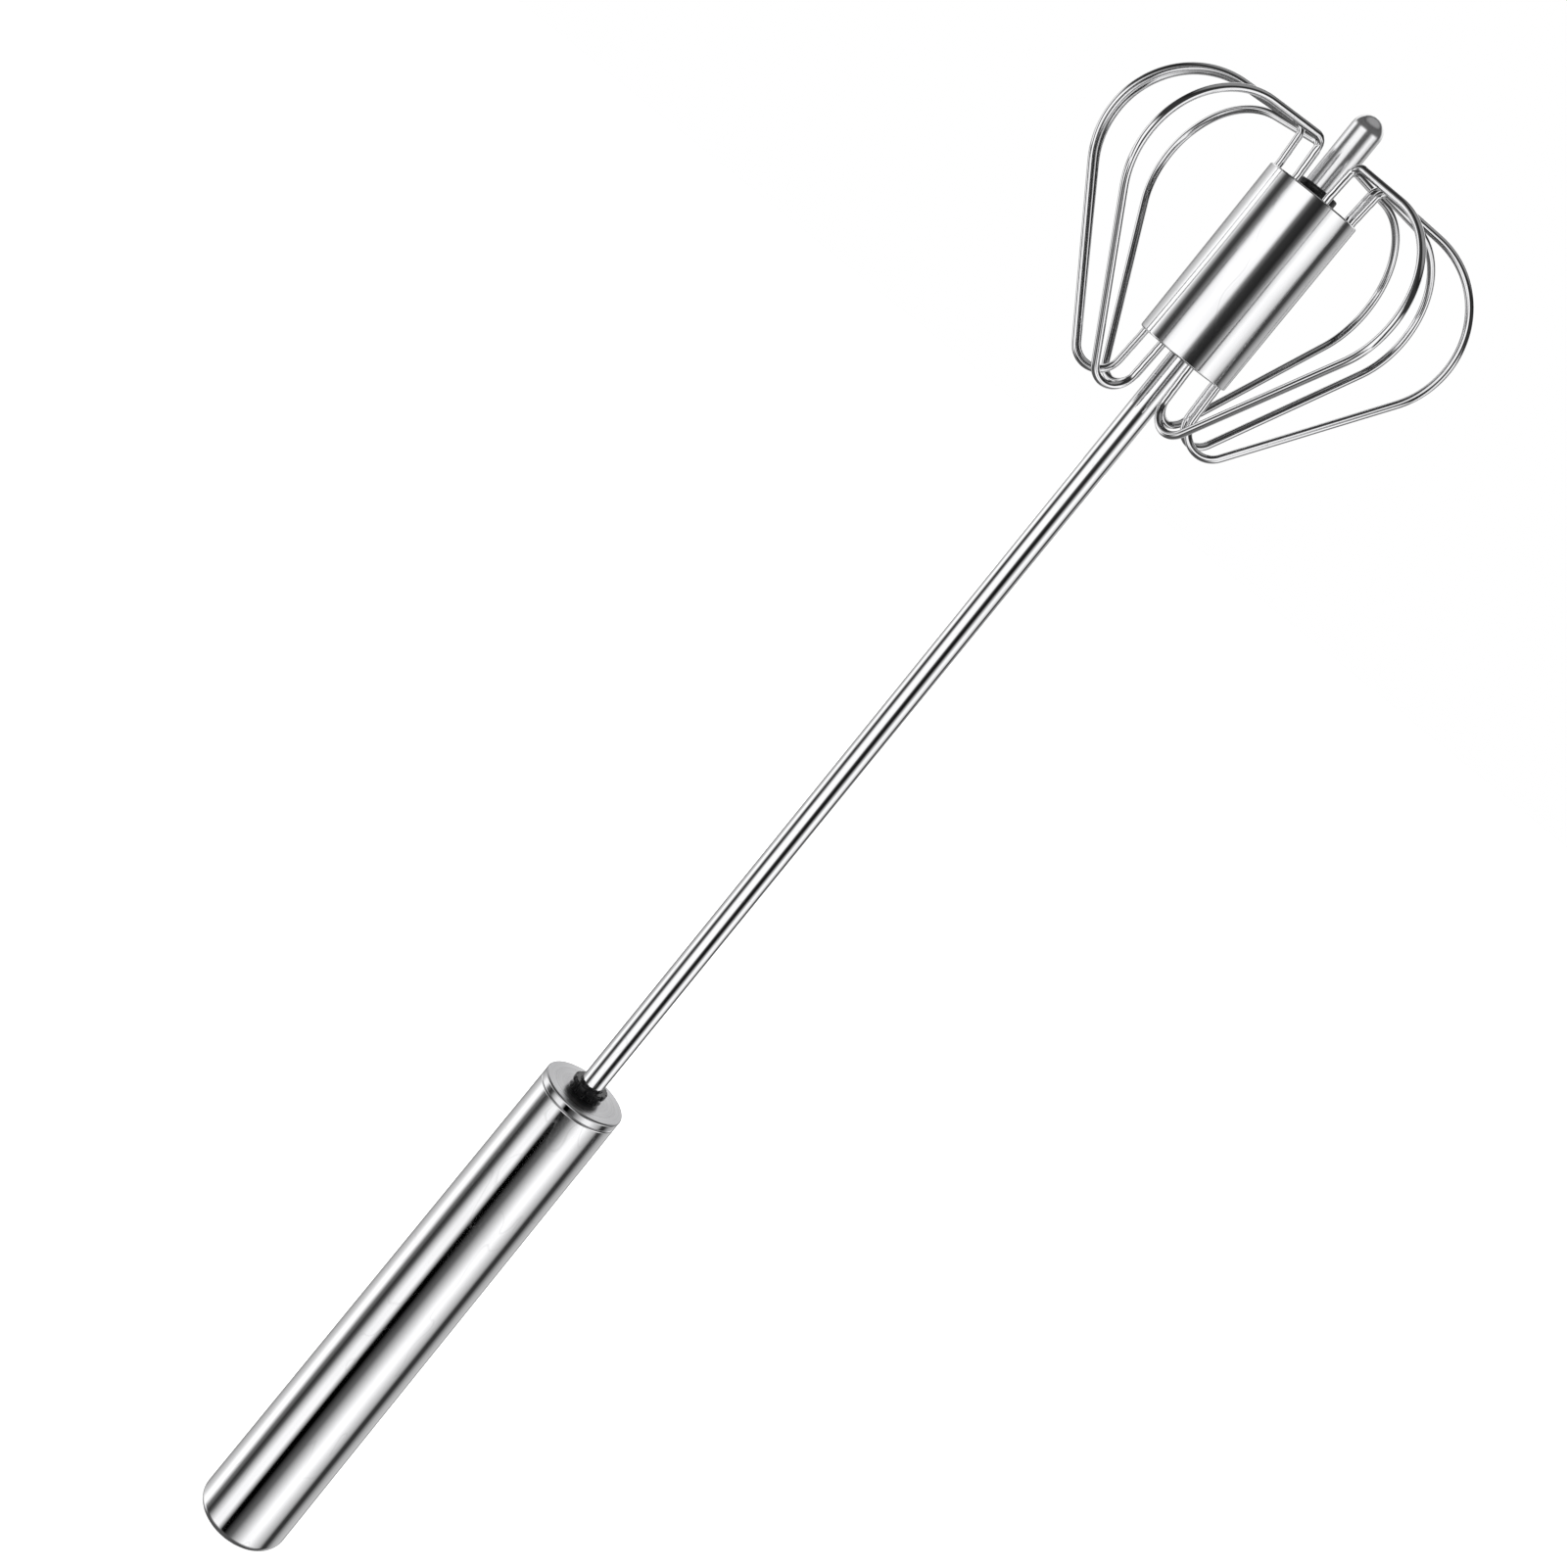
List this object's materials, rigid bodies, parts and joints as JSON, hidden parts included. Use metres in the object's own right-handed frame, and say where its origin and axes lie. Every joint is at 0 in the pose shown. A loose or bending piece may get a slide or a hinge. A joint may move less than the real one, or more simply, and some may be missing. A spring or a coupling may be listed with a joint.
{
  "type": "push-down rotary whisk",
  "caption": "Hand-held egg beater: a slim tube handle pushes down on a shaft, and a twisted strip inside spins a head of wire loops round a ferrule with a foot pin.",
  "frame": {"origin": "centre of the handle's closed end", "axes": "+Z along the shaft from the closed end to the foot pin's tip; +X and -X point into the two fans of wire loops"},
  "size_m": [0.0758, 0.0591, 0.362],
  "materials": {
    "polished_steel": "mirror-polished stainless steel",
    "satin_steel": "stainless steel with fine turned rings",
    "shaft_steel": "polished stainless steel tube",
    "wire_steel": "polished stainless steel wire",
    "spring_steel": "bright drawn spring wire",
    "strip_steel": "rolled and twisted stainless strip",
    "pin_steel": "plain ground steel",
    "black_plastic": "black moulded plastic",
    "anchor_plastic": "grey moulded plastic",
    "nut_plastic": "white acetal",
    "stop_rubber": "black rubber"
  },
  "bodies": {
    "handle": {"handle_tube": "polished_steel", "mouth_cap": "satin_steel", "shaft_bush": "black_plastic", "bush_retaining_ring": "spring_steel", "strip_anchor": "anchor_plastic", "twisted_strip": "strip_steel", "anchor_pin": "pin_steel", "spring_seat": "pin_steel", "return_spring": "spring_steel"},
    "carrier": {"thrust_washer": "pin_steel"},
    "whisk": {"shaft_tube": "shaft_steel", "drive_nut": "nut_plastic", "nut_screws": "pin_steel", "stop_ring": "stop_rubber", "ferrule": "polished_steel", "hub_core": "black_plastic", "hub_end_plate": "satin_steel", "hub_pin": "pin_steel", "foot_pin": "shaft_steel", "whisk_loop_1": "wire_steel", "whisk_loop_2": "wire_steel", "whisk_loop_3": "wire_steel", "whisk_loop_4": "wire_steel", "whisk_loop_5": "wire_steel", "whisk_loop_6": "wire_steel", "whisk_loop_7": "wire_steel", "whisk_loop_8": "wire_steel"}
  },
  "joints": [
    {"name": "push_slide", "type": "slide", "parent": "handle", "child": "carrier", "axis": [0, 0, -1], "range_m": [0, 0.07], "stiffness_N_per_m": 90, "springref_m": -0.04, "deforming": ["return_spring"]},
    {"name": "whisk_spin", "type": "hinge", "parent": "carrier", "child": "whisk", "pos_m": [0, 0, 0], "axis": [0, 0, -1], "range_deg": [0, 900]}
  ],
  "couplings": [
    {"joint": "whisk_spin", "follows": "push_slide", "rad_per_m": 224.4}
  ]
}
